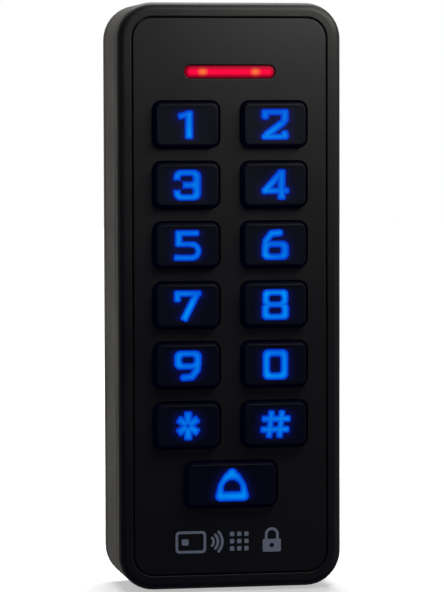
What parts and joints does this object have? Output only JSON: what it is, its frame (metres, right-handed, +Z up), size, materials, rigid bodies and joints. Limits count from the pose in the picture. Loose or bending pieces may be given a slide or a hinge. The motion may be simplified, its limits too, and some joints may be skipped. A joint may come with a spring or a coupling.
{
  "type": "keypad access reader",
  "caption": "Slim wall-mounted door-entry keypad with backlit number keys, a wide bell key, a red light bar and a card coil, in a dark moulded case on a wall plate.",
  "frame": {"origin": "centre of the wall plate's back face, on the wall", "axes": "+Z up, face looks along -Y, wall at Y = 0 behind it, +X to the right as the user sees the keys"},
  "size_m": [0.051, 0.0235, 0.132],
  "materials": {
    "case_plastic": "fine moulded texture, satin",
    "panel_plastic": "fine moulded texture, soft sheen",
    "key_plastic": "smooth satin",
    "red_light": "clear red, lit",
    "blue_light": "clear blue, lit",
    "silicone": "matt silicone",
    "carbon": "conductive carbon, matt",
    "circuit_board": "green solder mask",
    "copper": "varnished winding wire",
    "chip_plastic": "moulded epoxy",
    "white_plastic": "natural nylon",
    "steel": "zinc plated",
    "aluminium": "drawn can",
    "clear_lens": "clear potted lens",
    "black_rubber": "matt rubber"
  },
  "bodies": {
    "housing": {"wall_plate": "case_plastic", "rear_housing": "case_plastic", "front_cover": "case_plastic", "case_gasket": "black_rubber", "cable_gland": "black_rubber", "face_panel": "panel_plastic", "light_bar": "red_light", "keypad_mat": "silicone", "main_board": "circuit_board", "antenna_coil": "copper", "microcontroller": "chip_plastic", "reader_chip": "chip_plastic", "crystal": "steel", "relay": "white_plastic", "buzzer": "chip_plastic", "wire_connector": "white_plastic", "surge_diode": "chip_plastic", "voltage_regulator": "chip_plastic", "capacitor": "aluminium", "tamper_sensor": "clear_lens", "status_led_left": "red_light", "status_led_right": "red_light", "security_screw": "steel", "backlight_led_1": "blue_light", "backlight_led_2": "blue_light", "backlight_led_3": "blue_light", "backlight_led_4": "blue_light", "backlight_led_5": "blue_light", "backlight_led_6": "blue_light", "backlight_led_7": "blue_light", "case_screw_1": "steel", "case_screw_2": "steel", "case_screw_3": "steel", "case_screw_4": "steel"},
    "key_1": {"key_1": "key_plastic", "contact_pill_1": "carbon"},
    "key_2": {"key_2": "key_plastic", "contact_pill_2": "carbon"},
    "key_3": {"key_3": "key_plastic", "contact_pill_3": "carbon"},
    "key_4": {"key_4": "key_plastic", "contact_pill_4": "carbon"},
    "key_5": {"key_5": "key_plastic", "contact_pill_5": "carbon"},
    "key_6": {"key_6": "key_plastic", "contact_pill_6": "carbon"},
    "key_7": {"key_7": "key_plastic", "contact_pill_7": "carbon"},
    "key_8": {"key_8": "key_plastic", "contact_pill_8": "carbon"},
    "key_9": {"key_9": "key_plastic", "contact_pill_9": "carbon"},
    "key_0": {"key_0": "key_plastic", "contact_pill_0": "carbon"},
    "key_star": {"key_star": "key_plastic", "contact_pill_star": "carbon"},
    "key_hash": {"key_hash": "key_plastic", "contact_pill_hash": "carbon"},
    "key_bell": {"key_bell": "key_plastic", "contact_pill_bell": "carbon"}
  },
  "joints": [
    {"name": "key_1_press", "type": "slide", "parent": "housing", "child": "key_1", "axis": [0, 1, 0], "range_m": [0, 0.0012], "stiffness_N_per_m": 800},
    {"name": "key_2_press", "type": "slide", "parent": "housing", "child": "key_2", "axis": [0, 1, 0], "range_m": [0, 0.0012], "stiffness_N_per_m": 800},
    {"name": "key_3_press", "type": "slide", "parent": "housing", "child": "key_3", "axis": [0, 1, 0], "range_m": [0, 0.0012], "stiffness_N_per_m": 800},
    {"name": "key_4_press", "type": "slide", "parent": "housing", "child": "key_4", "axis": [0, 1, 0], "range_m": [0, 0.0012], "stiffness_N_per_m": 800},
    {"name": "key_5_press", "type": "slide", "parent": "housing", "child": "key_5", "axis": [0, 1, 0], "range_m": [0, 0.0012], "stiffness_N_per_m": 800},
    {"name": "key_6_press", "type": "slide", "parent": "housing", "child": "key_6", "axis": [0, 1, 0], "range_m": [0, 0.0012], "stiffness_N_per_m": 800},
    {"name": "key_7_press", "type": "slide", "parent": "housing", "child": "key_7", "axis": [0, 1, 0], "range_m": [0, 0.0012], "stiffness_N_per_m": 800},
    {"name": "key_8_press", "type": "slide", "parent": "housing", "child": "key_8", "axis": [0, 1, 0], "range_m": [0, 0.0012], "stiffness_N_per_m": 800},
    {"name": "key_9_press", "type": "slide", "parent": "housing", "child": "key_9", "axis": [0, 1, 0], "range_m": [0, 0.0012], "stiffness_N_per_m": 800},
    {"name": "key_0_press", "type": "slide", "parent": "housing", "child": "key_0", "axis": [0, 1, 0], "range_m": [0, 0.0012], "stiffness_N_per_m": 800},
    {"name": "key_star_press", "type": "slide", "parent": "housing", "child": "key_star", "axis": [0, 1, 0], "range_m": [0, 0.0012], "stiffness_N_per_m": 800},
    {"name": "key_hash_press", "type": "slide", "parent": "housing", "child": "key_hash", "axis": [0, 1, 0], "range_m": [0, 0.0012], "stiffness_N_per_m": 800},
    {"name": "key_bell_press", "type": "slide", "parent": "housing", "child": "key_bell", "axis": [0, 1, 0], "range_m": [0, 0.0012], "stiffness_N_per_m": 800}
  ]
}
